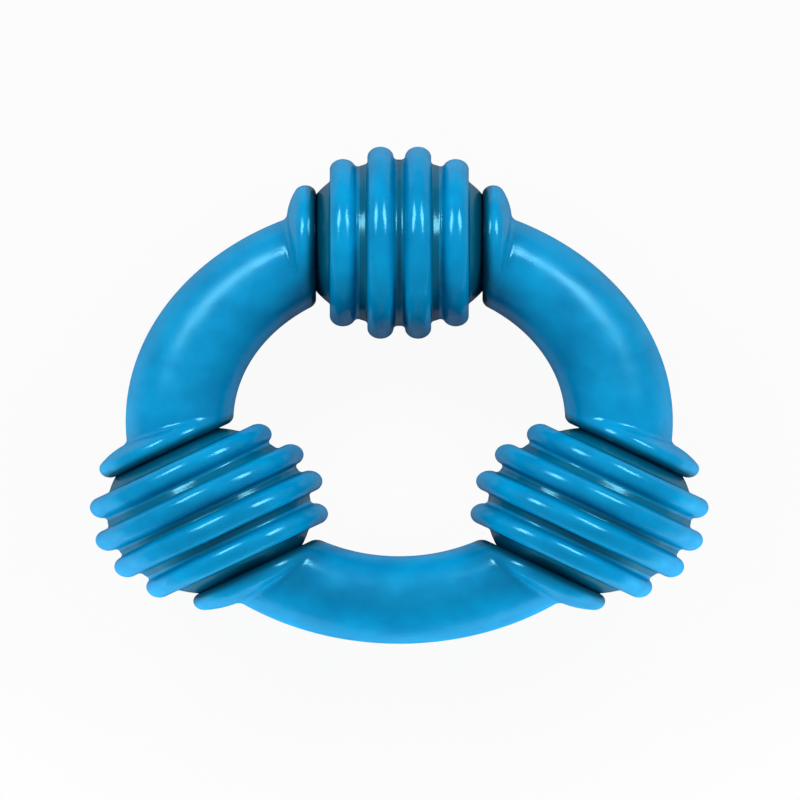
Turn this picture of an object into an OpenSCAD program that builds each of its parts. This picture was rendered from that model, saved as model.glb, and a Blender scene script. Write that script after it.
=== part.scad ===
// Rubber chew ring: three smooth round arms join three ribbed ball knobs.
// The ring lies flat, its centre is the origin, and its top knob is towards +Y.

/* [Ring] */
// Radius of the circle on which the arms and the balls are centred
ring_r = 48.5; // [44:0.5:60]
// Diameter of an arm
arm_d = 23.8; // [20:0.2:28]

/* [Ball] */
// Diameter of the ball at the bottom of the grooves
ball_d = 45.2; // [43:0.2:50]

/* [Ribs] */
// Distance from one rib to the next
rib_pitch = 8.3; // [7.8:0.1:9]
// Thickness of a rib, whose rim is fully round
rib_w = 5.8; // [4.8:0.1:6.2]
// How far the crest of a rib stands out from the ball under it
rib_h = 3.86; // [3.3:0.02:5]
// Radius of the fillet where a rib grows out of the ball
root_r = 0.9; // [0.5:0.1:1.1]
// How deep a rib's foot is seated below the ball's surface
foot_depth = 0.8; // [0.4:0.1:2]

/* [Collars] */
// Width of the groove between the outer rib and the collar
end_groove_w = 3; // [2:0.1:4]
// Diameter of the collar that ends an arm
collar_d = 31.2; // [30:0.2:34]
// Radius of the collar's round rim
collar_rim_r = 2.4; // [1.6:0.1:3]
// How far the arm's domed shoulder reaches from the end groove
shoulder_l = 6.5; // [5.5:0.1:8]
// Diameter of the flat on the shoulder's end, which lies inside the arm
shoulder_flat_d = 12.2; // [10:0.2:14]

/* [Hidden] */
$fn = 96;
overrun = 1;

KNOBS = ["top", "left", "right"];
ARMS = ["left", "bottom", "right"];
RIBS = [1, 2, 3, 4];
ENDS = [1, 2];
knob_turn = 360 / len(KNOBS);

// Colours of the one blue rubber, a little lighter where the rims catch the light
rubber_blue = [0.05, 0.53, 0.79];
rim_blue = [0.07, 0.58, 0.83];
groove_blue = [0.03, 0.43, 0.64];

// A profile's points are [distance from the knob's axis, place along that axis],
// and the place is counted from the middle of the ball.
ball_r = ball_d / 2;
rim_r = rib_w / 2;

// The root fillets on the two sides of a groove leave some of its bottom between them
groove_share = 0.45;
fillet_r = min(root_r, groove_share * (rib_pitch - rib_w));

// Where rib j stands, counted from the middle: 0 is a middle rib and 1 an outer one
function rib_s(j) = (j + 1 / 2) * rib_pitch;

// Centre of its round rim
function rim_c(j) = [sqrt(pow(ball_r, 2) - pow(rib_s(j), 2)) + rib_h - rim_r, rib_s(j)];

// A root fillet touches the ball and either the rib's flat side or, where the
// groove is shallow, its rim. Side 1 faces away from the ball's middle, -1 to it.
function meets_side(j, side) =
    pow(ball_r + fillet_r, 2) - pow(rim_c(j)[1] + side * (rim_r + fillet_r), 2)
    <= pow(rim_c(j)[0], 2);

// Centre of a fillet that touches the ball and the rib's flat side
function root_beside(j, side) =
    let (s = rim_c(j)[1] + side * (rim_r + fillet_r))
    [sqrt(pow(ball_r + fillet_r, 2) - pow(s, 2)), s];

// Centre of a fillet that touches the ball and the rib's round rim
function root_under_rim(j, side) =
    let (
        c = rim_c(j),
        toward = c / norm(c),
        along = (pow(ball_r + fillet_r, 2) - pow(rim_r + fillet_r, 2) + pow(norm(c), 2))
            / (2 * norm(c)),
        across = sqrt(pow(ball_r + fillet_r, 2) - pow(along, 2))
    )
    along * toward + side * across * [-toward[1], toward[0]];

function root_c(j, side) =
    meets_side(j, side) ? root_beside(j, side) : root_under_rim(j, side);

// Where the fillet leaves the ball
function root_on_ball(j, side) = root_c(j, side) * ball_r / (ball_r + fillet_r);

// Where the fillet leaves the rib, and the rest of the rib's flat side, if it has one
function rib_side(j, side) =
    let (c = rim_c(j), f = root_c(j, side))
    meets_side(j, side)
        ? [[f[0], c[1] + side * rim_r], [c[0], c[1] + side * rim_r]]
        : [c + rim_r * (f - c) / norm(f - c)];

// Radius of the seat that rib j's foot stands on
function seat_r(j) =
    min(root_on_ball(j, -1)[0], root_on_ball(j, 1)[0]) - foot_depth;

// The end groove's far wall, which is the collar's inner face and the ball's end
wall_s = rim_c(1)[1] + rim_r + end_groove_w;

// The collar's rim is an arc about rim_mid. The shoulder's arc carries on from it
// without a corner and stands square to the knob's axis at the shoulder's flat.
collar_rim_mid = [collar_d / 2 - collar_rim_r, wall_s + collar_rim_r];
shoulder_s = wall_s + shoulder_l;
shoulder_flat_r = shoulder_flat_d / 2;
rim_to_end = shoulder_s - collar_rim_mid[1];
rim_to_flat = collar_rim_mid[0] - shoulder_flat_r;
shoulder_r = (pow(rim_to_end, 2) + pow(rim_to_flat, 2) - pow(collar_rim_r, 2))
    / (2 * (rim_to_end - collar_rim_r));
shoulder_mid = [shoulder_flat_r, shoulder_s - shoulder_r];
to_rim = collar_rim_mid - shoulder_mid;
seam = shoulder_mid + shoulder_r * to_rim / norm(to_rim);
seam_s = seam[1];

// Further than anything at a knob lies from the knob's axis
reach = ring_r + arm_d;

// Puts its children at knob k, with +X along the knob's axis
module at_knob(k) {
    rotate([0, 0, k * knob_turn]) translate([0, ring_r, 0]) children();
}

// Turns a profile about the knob's axis
module turned() {
    rotate([0, 90, 0]) rotate_extrude() children();
}

// Turns its children round to the anticlockwise end of a knob if end is 2
module at_end(end) {
    if (end == 1) children();
    else mirror([1, 0, 0]) children();
}

// The round bar of the arm on the clockwise side of a knob, as far as the next knob
module bar() {
    translate([0, -ring_r, 0])
        rotate([0, 0, 90 - knob_turn])
            rotate_extrude(angle = knob_turn)
                translate([ring_r, 0]) circle(d = arm_d);
}

// Everything between two places on the axis of a knob
module slice(from, to) {
    translate([from, -reach, -reach]) cube([to - from, 2 * reach, 2 * reach]);
}

// A rib is a ring: its foot is cut off at the seat
module rib_profile(j) {
    inner = root_on_ball(j, -1);
    outer = root_on_ball(j, 1);
    near = rib_side(j, -1);
    far = rib_side(j, 1);
    intersection() {
        difference() {
            union() {
                translate(rim_c(j)) circle(r = rim_r);
                polygon(concat(
                    [[0, inner[1]], inner],
                    near,
                    [rim_c(j)],
                    [for (n = [len(far) - 1:-1:0]) far[n]],
                    [outer, [0, outer[1]]]
                ));
            }
            for (side = [-1, 1]) translate(root_c(j, side)) circle(r = fillet_r);
        }
        translate([seat_r(j), 0]) square([ball_d, wall_s]);
    }
}

// The ball is cut off flat at the collars and has a seat for each rib's foot
module ball_profile() {
    difference() {
        intersection() {
            circle(d = ball_d);
            translate([0, -wall_s]) square([ball_d, 2 * wall_s]);
        }
        for (j = [0, 1], up = [0, 1]) mirror([0, up])
            translate([seat_r(j), root_on_ball(j, -1)[1]])
                square([ball_d, root_on_ball(j, 1)[1] - root_on_ball(j, -1)[1]]);
    }
}

// Flat disc with a round rim, long enough to be cut at the groove and at the seam
module collar_profile() {
    translate([0, wall_s - overrun]) square([collar_rim_mid[0], shoulder_l + overrun]);
    translate(collar_rim_mid) circle(r = collar_rim_r);
}

module shoulder_profile() {
    translate([0, seam_s]) square([shoulder_flat_r, shoulder_s - seam_s]);
    intersection() {
        translate(shoulder_mid) circle(r = shoulder_r);
        translate([shoulder_flat_r, seam_s]) square([collar_d, shoulder_l]);
    }
}

// Ball of knob k
module ball(k) {
    color(groove_blue) at_knob(k) turned() ball_profile();
}

// Rib n of knob k: ribs 1 and 4 are the outer ones, and rib 4 is the clockwise one
module rib(k, n) {
    middle = n == RIBS[1] || n == RIBS[2];
    color(rim_blue) at_knob(k) at_end(n > len(RIBS) / 2 ? 1 : 2)
        turned() rib_profile(middle ? 0 : 1);
}

// Collar at end 1, the clockwise one, or end 2 of knob k. The arm's bar runs
// through it to the end groove.
module collar(k, end) {
    color(rubber_blue) at_knob(k) at_end(end) intersection() {
        union() {
            turned() collar_profile();
            bar();
        }
        slice(wall_s, seam_s);
    }
}

// Arm on the anticlockwise side of knob k, with the domed shoulders of both its ends
module arm(k) {
    next = k + 1;
    color(rubber_blue) {
        difference() {
            at_knob(k) at_end(2) bar();
            at_knob(k) at_end(2) slice(-reach, seam_s);
            at_knob(next) slice(-reach, seam_s);
        }
        at_knob(k) at_end(2) turned() shoulder_profile();
        at_knob(next) turned() shoulder_profile();
    }
}

for (k = [0:len(KNOBS) - 1]) {
    arm(k);
    ball(k);
    for (n = RIBS) {
        rib(k, n);
    }
    for (n = ENDS) {
        collar(k, n);
    }
}
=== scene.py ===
"""Rubber chew ring: three smooth round arms and three ribbed balls in one glossy blue moulding.

The ring's sizes are in millimetres: each piece is drawn with the middle of its knob at the
origin, put in its place in the ring and then brought to metres. The studio's are in metres.
"""
import math

import bmesh
import bpy
import numpy as np
from mathutils import Matrix, Vector


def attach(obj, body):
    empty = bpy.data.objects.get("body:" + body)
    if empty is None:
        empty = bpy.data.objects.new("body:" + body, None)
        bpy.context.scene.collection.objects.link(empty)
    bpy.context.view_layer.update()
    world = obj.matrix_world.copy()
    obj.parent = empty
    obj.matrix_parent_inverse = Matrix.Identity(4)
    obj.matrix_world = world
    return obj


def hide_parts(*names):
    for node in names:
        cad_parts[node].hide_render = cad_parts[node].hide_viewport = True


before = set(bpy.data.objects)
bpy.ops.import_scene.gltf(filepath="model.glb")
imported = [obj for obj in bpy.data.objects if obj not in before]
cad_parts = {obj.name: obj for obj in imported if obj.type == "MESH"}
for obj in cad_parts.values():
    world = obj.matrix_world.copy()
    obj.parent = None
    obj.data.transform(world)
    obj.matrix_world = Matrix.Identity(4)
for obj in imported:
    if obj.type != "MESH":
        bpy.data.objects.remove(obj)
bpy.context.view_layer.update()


# Balls
# Each knob's core is a ball of blue rubber, moulded in one with the ribs and arms. It shows at
# the bottom of the grooves, ends flat at the collars and has a seat under each rib's foot.

MILLIMETRE = 0.001
RING_RADIUS = 48.5
BALL_RADIUS = 22.6
RIB_PITCH = 8.3
RIM_RADIUS = 2.9
RIB_HEIGHT = 3.86
ROOT_RADIUS = 0.9
FOOT_DEPTH = 0.8
END_GROOVE = 3.0
CORNER_SHADE_WIDTH = 2.6
COLUMNS = 144
BALL_STEPS = 6
SAME_PLACE = 1e-4
KNOB_TURN = {"top": 0, "left": 120, "right": 240}

rim_place = {"middle": 0.5 * RIB_PITCH, "outer": 1.5 * RIB_PITCH}
wall = rim_place["outer"] + RIM_RADIUS + END_GROOVE


def rim_centre(kind):
    """Centre of a rib's round rim, as (place along the knob's axis, distance from it)."""
    along = rim_place[kind]
    return Vector((along, math.sqrt(BALL_RADIUS**2 - along**2) + RIB_HEIGHT - RIM_RADIUS))


def root_centre(kind, side):
    """Centre of the fillet between the ball and a rib: side 1 is away from the ball's middle."""
    rim = rim_centre(kind)
    reach = BALL_RADIUS + ROOT_RADIUS
    beside = rim.x + side * (RIM_RADIUS + ROOT_RADIUS)
    if reach**2 - beside**2 <= rim.y**2:
        return Vector((beside, math.sqrt(reach**2 - beside**2)))
    toward = rim.normalized()
    along = (reach**2 - (RIM_RADIUS + ROOT_RADIUS) ** 2 + rim.length_squared) / (2 * rim.length)
    across = math.sqrt(reach**2 - along**2)
    return along * toward + side * across * Vector((toward.y, -toward.x))


def root_on_ball(kind, side):
    """Where that fillet runs out on the ball."""
    return root_centre(kind, side) * BALL_RADIUS / (BALL_RADIUS + ROOT_RADIUS)


def root_on_rib(kind, side):
    """Where that fillet runs out on the rib."""
    rim, root = rim_centre(kind), root_centre(kind, side)
    if root.y < rim.y:
        return Vector((rim.x + side * RIM_RADIUS, root.y))
    return rim + RIM_RADIUS * (root - rim).normalized()


def seat_radius(kind):
    """Distance from the knob's axis to the seat that a rib's foot stands on."""
    return min(root_on_ball(kind, -1).y, root_on_ball(kind, 1).y) - FOOT_DEPTH


class Outline:
    """Half of a turned piece's cross-section, drawn above the knob's axis, which is X."""

    def __init__(self, start):
        self.bm = bmesh.new()
        self.out = self.bm.verts.layers.float_vector.new("out")
        self.first = self.tip = self.bm.verts.new((start[0], start[1], 0))

    def line(self, end):
        """Carries the outline straight on."""
        made = bmesh.ops.extrude_vert_indiv(self.bm, verts=[self.tip])
        self.tip = made["verts"][0]
        self.tip.co = (end[0], end[1], 0)

    def arc(self, centre, end, steps, concave=False):
        """Carries it on round a centre, and notes which way the surface faces there."""
        centre = Vector(centre)
        here = self.tip.co.xy - centre
        angle = -here.angle_signed(Vector(end) - centre)
        known = set(self.bm.verts) - {self.tip}
        bmesh.ops.spin(
            self.bm, geom=[self.tip], cent=(*centre, 0), axis=(0, 0, 1), angle=angle, steps=steps
        )
        for v in self.bm.verts:
            if v not in known:
                v[self.out] = ((v.co.xy - centre) * (-1 if concave else 1)).normalized().to_3d()
                if (v.co.xy - Vector(end)).length < SAME_PLACE:
                    self.tip = v

    def turned(self, name, closed, hollow):
        """Turns the outline about the knob's axis and gives the mesh of the piece.

        The function given last gives the mark of painted shade from a spot's place along the axis
        and its distance from it: 0 is the open surface, 1 the painted shade at the bottom of a
        groove and 2 the darker painted shade in the corner of an end groove.
        """
        bm, out = self.bm, self.out
        if closed:
            bm.edges.new((self.tip, self.first))
        bmesh.ops.spin(
            bm,
            geom=bm.verts[:] + bm.edges[:],
            cent=(0, 0, 0),
            axis=(1, 0, 0),
            angle=math.tau,
            steps=COLUMNS,
            use_merge=True,
        )
        bmesh.ops.remove_doubles(bm, verts=bm.verts, dist=SAME_PLACE)
        bmesh.ops.recalc_face_normals(bm, faces=bm.faces)

        def facing(v):
            radial = Vector((0, v.co.y, v.co.z)).normalized()
            return v[out].y * radial + Vector((v[out].x, 0, 0))

        # A face is smooth where all its corners lie on arcs, which have noted their directions
        for face in bm.faces:
            face.smooth = all(v[out].length > 0.5 for v in face.verts)
        bm.verts.index_update()
        depth = [hollow(v.co.x, v.co.yz.length) for v in bm.verts]
        return shaded(bm, name, [facing(v) for v in bm.verts], hollow=depth)


def shaded(bm, name, facing, **marks):
    """Makes the mesh, whose smooth faces take the surface's true direction at each corner.

    A mark is a list of each vertex's value, which the material reads by its name.
    """
    for mark, values in marks.items():
        layer = bm.verts.layers.float.new(mark)
        for v in bm.verts:
            v[layer] = max(values[v.index], 0)
    corners = [
        facing[v.index] if face.smooth else face.normal for face in bm.faces for v in face.verts
    ]
    mesh = bpy.data.meshes.new(name)
    bm.to_mesh(mesh)
    bm.free()
    mesh.normals_split_custom_set(corners)
    return mesh


def added(name, data):
    """Puts a mesh, lamp, camera or empty into the scene."""
    thing = bpy.data.objects.new(name, data)
    bpy.context.scene.collection.objects.link(thing)
    return thing


def place(mesh, name, node, turn, flipped=False):
    """Puts a copy of a mesh, turned end for end if flipped, at a knob in place of a CAD node."""
    own = mesh.copy()
    own.name = name
    own.materials.append(blue_rubber)
    if flipped:
        own.transform(Matrix.Rotation(math.pi, 4, "Y"))
    own.transform(Matrix.Translation((0, RING_RADIUS, 0)))
    own.transform(Matrix.Rotation(math.radians(turn), 4, "Z"))
    own.transform(Matrix.Scale(MILLIMETRE, 4))
    piece = added(name, own)
    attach(piece, "root")
    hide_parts(node)


class Wire:
    """A value that runs between a material's nodes. Python's operators on it add Math nodes."""

    def __init__(self, tree, socket=None):
        self.tree = tree
        self.socket = socket

    def node(self, kind, settings=None, output=0, **inputs):
        """Adds a node. Inputs are named with underscores for spaces, or input_2 by number."""
        made = self.tree.nodes.new(kind)
        for name, value in (settings or {}).items():
            setattr(made, name, value)
        for name, value in inputs.items():
            number = name.removeprefix("input_")
            key = int(number) if number.isdigit() else name.replace("_", " ")
            if isinstance(value, Wire):
                self.tree.links.new(value.socket, made.inputs[key])
            else:
                made.inputs[key].default_value = value
        return made if output is None else Wire(self.tree, made.outputs[output])

    def math(self, operation, *values):
        inputs = {f"input_{n}": value for n, value in enumerate(values)}
        return self.node("ShaderNodeMath", {"operation": operation}, **inputs)

    def __add__(self, other):
        return self.math("ADD", self, other)

    def __sub__(self, other):
        return self.math("SUBTRACT", self, other)

    def __rsub__(self, other):
        return self.math("SUBTRACT", other, self)

    def __mul__(self, other):
        return self.math("MULTIPLY", self, other)

    def __truediv__(self, other):
        return self.math("DIVIDE", self, other)

    def __rtruediv__(self, other):
        return self.math("DIVIDE", other, self)

    __radd__ = __add__
    __rmul__ = __mul__


def emptied(owner):
    """Clears the nodes of a material or a world, for new ones to be added."""
    owner.use_nodes = True
    owner.node_tree.nodes.clear()
    return Wire(owner.node_tree)


RUBBER_DEEP = (0.0, 0.19, 0.43, 1)
RUBBER_LIGHT = (0.0, 0.34, 0.68, 1)
# Painted shade: a deeper blue at the bottom of the grooves, where shade falls
GROOVE_PAINTED_SHADE = (0.0, 0.122, 0.225, 1)
# Painted shadow: near-black for the corners of the end grooves, where the collars' walls stand in
# shade
CORNER_PAINTED_SHADE = (0.0, 0.025, 0.06, 1)
RUBBER_IOR = 1.58
GLOSS_TINT = (0.25, 0.8, 1.0, 1)

# Noises, by how many of their spots fit in a metre, and their shares in the colour. The shift
# brings their sum back to the middle of the two blues.
CLOUDS_PER_METRE = 38.0
MOTTLES_PER_METRE = 150.0
WAVES_PER_METRE = 90.0
GRAINS_PER_METRE = 1400.0
CLOUD_SHARE = 1.1
MOTTLE_SHARE = 0.9
TINT_SHIFT = 0.5

# Roughness: the least, and how much the mottling adds
GLOSSY = (0.05, 0.26)
WORN = (0.22, 0.25)
DULL = 0.5

# Relief of the skin. The waves and the mould line are so many times as high as the grain.
GRAIN_HEIGHT = 0.02 * MILLIMETRE
WAVE_RATIO = 20.0
MOULD_LINE_RATIO = 3.0
MOULD_LINE_WIDTH = 0.25 * MILLIMETRE


def moulded_rubber():
    """Glossy blue rubber with an uneven colour and gloss, painted shade in its grooves, a fine
    skin and a mould line.
    """
    material = bpy.data.materials.new("blue_rubber")
    wire = emptied(material)
    spot = wire.node("ShaderNodeTexCoord", output="Object")

    def noise(scale, detail, roughness=0.5):
        return wire.node(
            "ShaderNodeTexNoise", Vector=spot, Scale=scale, Detail=detail, Roughness=roughness
        )

    def mark(name):
        return wire.node("ShaderNodeAttribute", {"attribute_name": name}, output="Fac")

    def blended(share, first, second):
        return wire.node(
            "ShaderNodeMix",
            {"data_type": "RGBA"},
            output=2,
            input_0=share,
            input_6=first,
            input_7=second,
        )

    cloud = noise(CLOUDS_PER_METRE, detail=3.0)
    mottle = noise(MOTTLES_PER_METRE, detail=4.0, roughness=0.6)
    shift = CLOUD_SHARE * cloud + MOTTLE_SHARE * mottle - TINT_SHIFT
    colour = blended(shift, RUBBER_DEEP, RUBBER_LIGHT)
    # Painted shade: the colour deepens towards the bottom of each groove and darkens further in
    # the end grooves' corners
    hollow = mark("hollow")
    colour = blended(hollow, colour, GROOVE_PAINTED_SHADE)
    # Painted shadow: near-black in the corners of the end grooves
    colour = blended(hollow - 1, colour, CORNER_PAINTED_SHADE)

    grain = noise(GRAINS_PER_METRE, detail=3.0)
    waves = noise(WAVES_PER_METRE, detail=1.0)
    off_line = wire.node("ShaderNodeSeparateXYZ", output="Z", Vector=spot) / MOULD_LINE_WIDTH
    mould_line = 1 / (1 + off_line * off_line)
    relief = grain + WAVE_RATIO * waves + MOULD_LINE_RATIO * mould_line
    skin = wire.node("ShaderNodeBump", Strength=1.0, Distance=GRAIN_HEIGHT, Height=relief)

    # The worn gloss is a shader of its own. If one shader's roughness ran from one gloss to the
    # other, the denoiser would draw a line where it passes 0.27.
    glossy, worn = (
        wire.node(
            "ShaderNodeBsdfPrincipled",
            Base_Color=colour,
            Roughness=least + added * mottle,
            Normal=skin,
            IOR=RUBBER_IOR,
            Specular_Tint=GLOSS_TINT,
        )
        for least, added in (GLOSSY, WORN)
    )
    rubber = wire.node("ShaderNodeMixShader", input_0=mark("satin"), input_1=glossy, input_2=worn)

    # The edges mirror nothing of the white room, so the gloss fades at grazing angles
    dull = wire.node(
        "ShaderNodeBsdfPrincipled",
        Base_Color=colour,
        Roughness=DULL,
        Normal=skin,
        Specular_IOR_Level=0.0,
    )
    grazing = wire.node("ShaderNodeLayerWeight", output="Facing", Blend=0.5)
    surface = wire.node(
        "ShaderNodeMixShader", input_0=grazing * grazing, input_1=rubber, input_2=dull
    )
    wire.node("ShaderNodeOutputMaterial", output=None, Surface=surface)
    return material


blue_rubber = moulded_rubber()


def ball_outline():
    wall_radius = math.sqrt(BALL_RADIUS**2 - wall**2)
    outline = Outline((-wall, 0))
    outline.line((-wall, wall_radius))
    for kind, way in (("outer", -1), ("middle", -1), ("middle", 1), ("outer", 1)):
        near, far = (
            Vector((way * p.x, p.y)) for p in (root_on_ball(kind, -way), root_on_ball(kind, way))
        )
        outline.arc((0, 0), near, BALL_STEPS)
        outline.line((near.x, seat_radius(kind)))
        outline.line((far.x, seat_radius(kind)))
        outline.line(far)
    outline.arc((0, 0), (wall, wall_radius), BALL_STEPS)
    outline.line((wall, 0))
    return outline


def hollow_on_ball(along, radius):
    """Painted shade on the ball: full in the grooves, and darker still at each end, in the corner
    of an end groove.
    """
    in_groove = (BALL_RADIUS + RIB_HEIGHT - radius) / RIB_HEIGHT
    in_corner = (abs(along) - wall) / CORNER_SHADE_WIDTH + 1
    return min(in_groove, 1) + max(in_corner, 0)


ball_mesh = ball_outline().turned("ball", closed=False, hollow=hollow_on_ball)
for knob, turn in KNOB_TURN.items():
    place(ball_mesh, f"{knob}_ball", f"ball_{knob}", turn)


# Ribs
# Four ribs of the same rubber ring each ball, two middle ones and two lower ones outside them.
# Their rims are fully round, and a small fillet lets each grow out of the ball's surface.

RIM_STEPS = 14
ROOT_STEPS = 8

# A rib keeps its own colour from this share of its rim's radius up to the crest; below it painted
# shade darkens its flanks towards the groove
OPEN_SHARE = 0.7


def rib_outline(kind):
    rim = rim_centre(kind)
    inner, outer = root_on_ball(kind, -1), root_on_ball(kind, 1)
    outline = Outline((inner.x, seat_radius(kind)))
    outline.line(inner)
    outline.arc(root_centre(kind, -1), root_on_rib(kind, -1), ROOT_STEPS, concave=True)
    if root_centre(kind, -1).y < rim.y:
        outline.line(rim - Vector((RIM_RADIUS, 0)))
    outline.arc(rim, rim + Vector((0, RIM_RADIUS)), RIM_STEPS)
    if root_centre(kind, 1).y < rim.y:
        outline.arc(rim, rim + Vector((RIM_RADIUS, 0)), RIM_STEPS)
        outline.line(root_on_rib(kind, 1))
    else:
        outline.arc(rim, root_on_rib(kind, 1), RIM_STEPS)
    outline.arc(root_centre(kind, 1), outer, ROOT_STEPS, concave=True)
    outline.line((outer.x, seat_radius(kind)))
    return outline


rib_mesh = {}
for kind in rim_place:
    open_radius = rim_centre(kind).y + OPEN_SHARE * RIM_RADIUS
    rib_mesh[kind] = rib_outline(kind).turned(
        f"{kind}_rib",
        closed=True,
        hollow=lambda along, radius: (open_radius - radius) / RIB_HEIGHT,
    )

# Ribs 1 and 2 are ribs 4 and 3 turned end for end
for knob, turn in KNOB_TURN.items():
    for number, kind in enumerate(("outer", "middle", "middle", "outer"), 1):
        name = f"{knob}_rib_{number}"
        place(rib_mesh[kind], name, f"rib_{knob}_{number}", turn, flipped=number < 3)


# Collars
# An arm ends at each knob in a low collar of the same rubber, whose face is the end groove's far
# wall. Its rim is round, and towards the ring's hole the arm's bar runs through it to that wall.

ARM_RADIUS = 11.9
COLLAR_RADIUS = 15.6
COLLAR_RIM = 2.4
SHOULDER_LENGTH = 6.5
SHOULDER_FLAT = 6.1
EDGE_RADIUS = 1.2
NECK_RADIUS = 1.0
COLLAR_ROWS = 26

# Search for the surface: probes from well outside, then halvings between two of them. The
# surface's direction is measured over a nudge to each side.
FIRST_PROBE = 27.0
PROBES = 109
HALVINGS = 36
NUDGE = 1e-3

collar_rim = Vector((wall + COLLAR_RIM, COLLAR_RADIUS - COLLAR_RIM))
shoulder_end = wall + SHOULDER_LENGTH
rim_to_end = shoulder_end - collar_rim.x
rim_to_flat = collar_rim.y - SHOULDER_FLAT
shoulder_radius = (rim_to_end**2 + rim_to_flat**2 - COLLAR_RIM**2) / (
    2 * (rim_to_end - COLLAR_RIM)
)
shoulder = Vector((shoulder_end - shoulder_radius, SHOULDER_FLAT))
seam_way = (collar_rim - shoulder).normalized()
seam = shoulder.x + shoulder_radius * seam_way.x


def collar_distance(x, y, z):
    """Distance from the turned collar and its domed shoulder, in the frame of a knob."""
    r = np.hypot(y, z)
    from_rim = np.hypot(x - collar_rim.x, r - collar_rim.y) - COLLAR_RIM
    from_dome = np.hypot(x - shoulder.x, r - shoulder.y) - shoulder_radius
    rim_side = np.where(r > collar_rim.y, from_rim, wall - x)
    dome_side = np.where(r > shoulder.y, from_dome, x - shoulder_end)
    beyond = (x - shoulder.x) * seam_way.y - (r - shoulder.y) * seam_way.x > 0
    return np.where(beyond, dome_side, rim_side)


def moulding(points):
    """Distance from an arm's end, in the frame of a knob: below 0 is rubber.

    The bar's edge at the groove is rounded, and a fillet joins the bar to the shoulder.
    """
    x, y, z = np.moveaxis(points, -1, 0)
    bar = np.hypot(np.hypot(x, y + RING_RADIUS) - RING_RADIUS, z) - ARM_RADIUS
    over_bar = np.maximum(EDGE_RADIUS + bar, 0)
    over_wall = np.maximum(EDGE_RADIUS + wall - x, 0)
    ended = np.minimum(-EDGE_RADIUS, np.maximum(bar, wall - x)) + np.hypot(over_bar, over_wall)
    collar = collar_distance(x, y, z)
    near_bar = np.maximum(NECK_RADIUS - ended, 0)
    near_collar = np.maximum(NECK_RADIUS - collar, 0)
    return np.maximum(NECK_RADIUS, np.minimum(ended, collar)) - np.hypot(near_bar, near_collar)


def pressed_out(start, way):
    """Carries points out along their ways to the moulding's surface, and gives its direction."""
    reach = np.linspace(FIRST_PROBE, 0, PROBES)
    probe = start[:, None] + reach[:, None] * way[:, None]
    inside = np.argmax(moulding(probe) < 0, axis=1)
    low, high = reach[inside], reach[inside - 1]
    for _ in range(HALVINGS):
        middle = (low + high) / 2
        rubber = moulding(start + middle[:, None] * way) < 0
        low, high = np.where(rubber, middle, low), np.where(rubber, high, middle)
    surface = start + low[:, None] * way
    nudges = NUDGE * np.eye(3)
    facing = np.stack([moulding(surface + n) - moulding(surface - n) for n in nudges], axis=-1)
    return surface, facing / np.linalg.norm(facing, axis=-1, keepdims=True)


def capped(bm):
    """Shades a tube smooth and closes both its ends with flat faces."""
    for face in bm.faces:
        face.smooth = True
    bmesh.ops.holes_fill(bm, edges=[e for e in bm.edges if e.is_boundary], sides=0)
    bmesh.ops.recalc_face_normals(bm, faces=bm.faces)


def collar_mesh():
    """A tube whose rows are put in their places and carried out to the moulding's surface."""
    bm = bmesh.new()
    upright = Matrix.Rotation(math.pi / 2, 4, "Y")
    bmesh.ops.create_circle(bm, segments=COLUMNS, radius=COLLAR_RADIUS, matrix=upright)
    bmesh.ops.spin(bm, geom=bm.edges[:], axis=(1, 0, 0), dvec=(1, 0, 0), steps=COLLAR_ROWS)

    # The tube's rows stand a millimetre apart, so that their places along X are their numbers
    rows = np.array([round(v.co.x) for v in bm.verts])
    around = np.array([math.atan2(v.co.z, v.co.y) for v in bm.verts])
    capped(bm)
    turn = np.linspace(-math.pi / 2, math.asin(seam_way.x), COLLAR_ROWS + 1)
    along = collar_rim.x + COLLAR_RIM * np.sin(turn)

    # The first row stands a hair behind the groove's wall, so that its probes meet rubber
    along[0] += SAME_PLACE
    none = np.zeros(len(rows))
    start = np.stack([along[rows], none, none], axis=-1)
    way = np.stack([none, np.cos(around), np.sin(around)], axis=-1)
    surface, facing = pressed_out(start, way)
    for v, spot in zip(bm.verts, surface):
        v.co = spot

    # The painted shade falls from its darkest, 2, at the groove's wall to 0 at the rim's crest
    hollow = 2 * (wall + COLLAR_RIM - surface[:, 0]) / COLLAR_RIM
    return shaded(bm, "collar", facing.tolist(), hollow=hollow.tolist())


whole_collar = collar_mesh()
for knob, turn in KNOB_TURN.items():
    for number in (1, 2):
        name = f"{knob}_collar_{number}"
        place(whole_collar, name, f"collar_{knob}_{number}", turn, flipped=number == 2)


# Arms
# The arms are the smooth grips: round bars of solid rubber, bent to the ring's radius. At each
# end one swells with a small fillet into the domed shoulder behind its collar.

DOME_ROWS = 16
NECK_ROWS = 12
SWEEP_ROWS = 36
DOME_END = math.radians(2)
NECK_END = 27.4
HALF_ARM = math.radians(60)
SATIN_FADE = math.radians(14)
ARM_TURN = {"right": 0, "left": 120, "bottom": 240}

# Crowds the neck's planes towards the shoulder and starts their turn gently
EASE = 1.5


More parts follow.
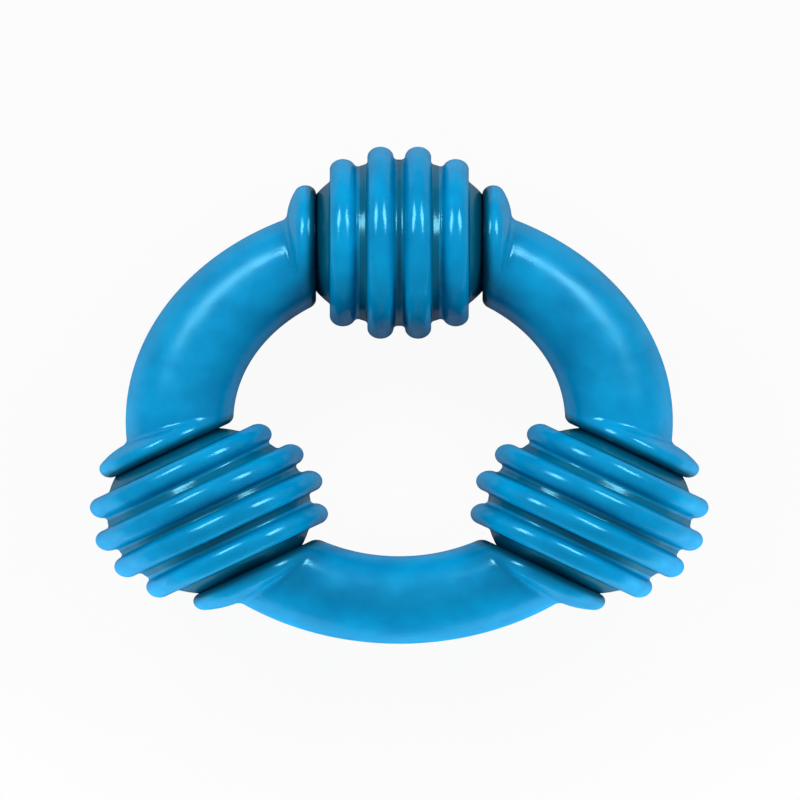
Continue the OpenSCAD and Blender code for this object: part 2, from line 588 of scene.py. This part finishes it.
def arm_planes():
    """Cross-section planes of half an arm: a point in each and its turn from the knob's own.

    They stand square to the knob's axis up to the neck's end, and then turn little by little
    until they stand square to the bar in the middle of the arm. Their points leave the knob's
    axis there and settle on the bar's centre line.
    """
    dome = np.linspace(math.asin(seam_way.y), DOME_END, DOME_ROWS)
    along = shoulder.x + shoulder_radius * np.cos(dome)
    along[0] = seam
    neck = along[-1] + (NECK_END - along[-1]) * np.linspace(0, 1, NECK_ROWS + 1)[1:] ** EASE
    along = np.concatenate([along, neck])
    first = [(x, 0.0, 0.0) for x in along]
    begin = math.asin(NECK_END / RING_RADIUS)
    drop = RING_RADIUS * (1 - math.cos(begin))
    rest = []
    for share in np.linspace(0, 1, SWEEP_ROWS + 1)[1:]:
        bend = begin + (HALF_ARM - begin) * share
        turn = HALF_ARM * share**EASE
        lift = drop * (1 - share) ** 2
        rest.append(
            (
                RING_RADIUS * math.sin(bend) + lift * math.sin(turn),
                RING_RADIUS * (math.cos(bend) - 1) + lift * math.cos(turn),
                turn,
            )
        )
    return np.array(first + rest)


def arm_mesh():
    """A bent tube, carried out to the surface like a collar's."""
    planes = arm_planes()
    half = len(planes) - 1
    bm = bmesh.new()
    across = Matrix.Translation((0, RING_RADIUS, 0)) @ Matrix.Rotation(math.pi / 2, 4, "Y")
    bmesh.ops.create_circle(bm, segments=COLUMNS, radius=ARM_RADIUS, matrix=across)
    bmesh.ops.spin(bm, geom=bm.edges[:], axis=(0, 0, 1), angle=-2 * HALF_ARM, steps=2 * half)
    bend = np.array([math.atan2(v.co.x, v.co.y) for v in bm.verts])
    row = np.rint(bend / HALF_ARM * half).astype(int)
    around = np.array([math.atan2(v.co.z, v.co.xy.length - RING_RADIUS) for v in bm.verts])
    capped(bm)
    mirrored = row > half
    x, y, turn = planes[np.where(mirrored, 2 * half - row, row)].T
    start = np.stack([x, y, np.zeros(len(x))], axis=-1)
    out = np.stack([np.sin(turn), np.cos(turn), np.zeros(len(x))], axis=-1)
    way = out * np.cos(around)[:, None] + np.sin(around)[:, None] * np.array([0, 0, 1])
    surface, facing = pressed_out(start, way)

    # The second half is the first one, reflected in the line from the ring's centre to the
    # arm's middle
    middle = np.array([math.sin(HALF_ARM), math.cos(HALF_ARM), 0])

    def reflected(vectors):
        turned = 2 * (vectors @ middle)[:, None] * middle - vectors
        turned[:, 2] = vectors[:, 2]
        return np.where(mirrored[:, None], turned, vectors)

    ring_centre = np.array([0, RING_RADIUS, 0])
    surface = reflected(surface + ring_centre) - ring_centre
    for v, spot in zip(bm.verts, surface):
        v.co = spot
    along = np.arctan2(x, y + RING_RADIUS)
    satin = np.minimum((along - along.min()) / SATIN_FADE, 1)
    return shaded(bm, "arm", reflected(facing).tolist(), satin=satin.tolist())


whole_arm = arm_mesh()
for arm, turn in ARM_TURN.items():
    place(whole_arm, f"{arm}_arm", f"arm_{arm}", turn)


# Studio
# A white table in a white room, with the camera straight above. Two softboxes beyond the top
# knob make the highlights. A ceiling lamp and two low cards on the near side leave none.

TABLE_HEIGHT = -0.0261
TABLE_SIZE = 3.0
TABLE_GREY = (0.45, 0.45, 0.45, 1)
WHITE = (1, 1, 1, 1)
WHITE_TO_EYE = 0.94
WHITE_TO_GLOSS = 0.2
ROOM_LIGHT = 0.12
ROOM_WHITE = 0.9
PICTURE_WIDTH = 0.2172
PICTURE_MIDDLE = (0.0002, 0.0058, 0.5)
PICTURE_SQUASH = 0.813

# The lamps' places, their widths and heights, and their watts
SOFTBOX_PLACE = Vector((0.326, 0.315, 0.394))
SOFTBOX_SIZE = (0.26, 0.18)
SOFTBOX_POWER = 2.2
CARD_PLACE = Vector((0.13, -0.14, -0.002))
CARD_SIZE = (0.22, 0.035)
CARD_POWER = 0.34
CEILING_PLACE = Vector((0, 0, 0.6))
CEILING_SIZE = (0.6, 0.6)
CEILING_POWER = 0.4

bpy.context.scene.view_settings.view_transform = "Standard"


def seen(wire):
    """How much of the white behind the object a ray sees: the camera's nearly all of it."""
    by_eye, by_gloss, by_glass = (
        wire.node("ShaderNodeLightPath", output=f"Is {ray} Ray")
        for ray in ("Camera", "Glossy", "Transmission")
    )
    return WHITE_TO_EYE * by_eye + WHITE_TO_GLOSS * (by_gloss + by_glass)


def white_table():
    """Paper, to the camera whiter and more evenly lit than it is, and clear from below."""
    material = bpy.data.materials.new("white_table")
    wire = emptied(material)
    paper = wire.node("ShaderNodeBsdfDiffuse", Color=TABLE_GREY)
    even = wire.node("ShaderNodeEmission", Color=WHITE, Strength=1.0)
    mixed = wire.node("ShaderNodeMixShader", input_0=seen(wire), input_1=paper, input_2=even)
    behind = wire.node("ShaderNodeNewGeometry", output="Backfacing")
    clear = wire.node("ShaderNodeBsdfTransparent")
    table = wire.node("ShaderNodeMixShader", input_0=behind, input_1=mixed, input_2=clear)
    wire.node("ShaderNodeOutputMaterial", output=None, Surface=table)
    return material


bm = bmesh.new()
bmesh.ops.create_grid(bm, x_segments=1, y_segments=1, size=TABLE_SIZE)
bmesh.ops.translate(bm, verts=bm.verts, vec=(0, 0, TABLE_HEIGHT))
table_mesh = bpy.data.meshes.new("table")
bm.to_mesh(table_mesh)
bm.free()
table_mesh.materials.append(white_table())
added("table", table_mesh)

camera_data = bpy.data.cameras.new("camera")
camera_data.type = "ORTHO"
camera_data.ortho_scale = PICTURE_WIDTH
camera = added("camera", camera_data)
camera.location = PICTURE_MIDDLE

# The photograph is squashed in height, so the picture takes in less width than height. The
# camera is sheared by its parent's inverse: its own sideways axis leans out of the picture.
camera.parent = added("picture_squash", None)
shear = Matrix.Identity(4)
shear.col[0] = (PICTURE_SQUASH, 0, math.sqrt(1 - PICTURE_SQUASH**2), 0)
camera.matrix_parent_inverse = shear
bpy.context.scene.camera = camera

world = bpy.data.worlds.new("white_room")
wire = emptied(world)
strength = ROOM_LIGHT + ROOM_WHITE * seen(wire)
room = wire.node("ShaderNodeBackground", Color=WHITE, Strength=strength)
wire.node("ShaderNodeOutputWorld", output=None, Surface=room)
bpy.context.scene.world = world


def area_lamp(name, spot, size, power, mirrored=True):
    """A rectangular lamp that faces the ring's centre. It leaves no highlight unless mirrored."""
    data = bpy.data.lights.new(name, "AREA")
    data.shape = "RECTANGLE"
    data.size, data.size_y = size
    data.energy = power
    facing = spot.to_track_quat("Z", "Y").to_matrix().to_4x4()
    lamp = added(name, data)
    lamp.matrix_world = Matrix.Translation(spot) @ facing
    lamp.visible_camera = False
    lamp.visible_glossy = mirrored


for side, way in (("left", Vector((-1, 1, 1))), ("right", Vector((1, 1, 1)))):
    area_lamp(f"{side}_softbox", way * SOFTBOX_PLACE, SOFTBOX_SIZE, SOFTBOX_POWER)
    area_lamp(f"{side}_card", way * CARD_PLACE, CARD_SIZE, CARD_POWER, mirrored=False)
area_lamp("ceiling", CEILING_PLACE, CEILING_SIZE, CEILING_POWER, mirrored=False)

bpy.context.view_layer.update()
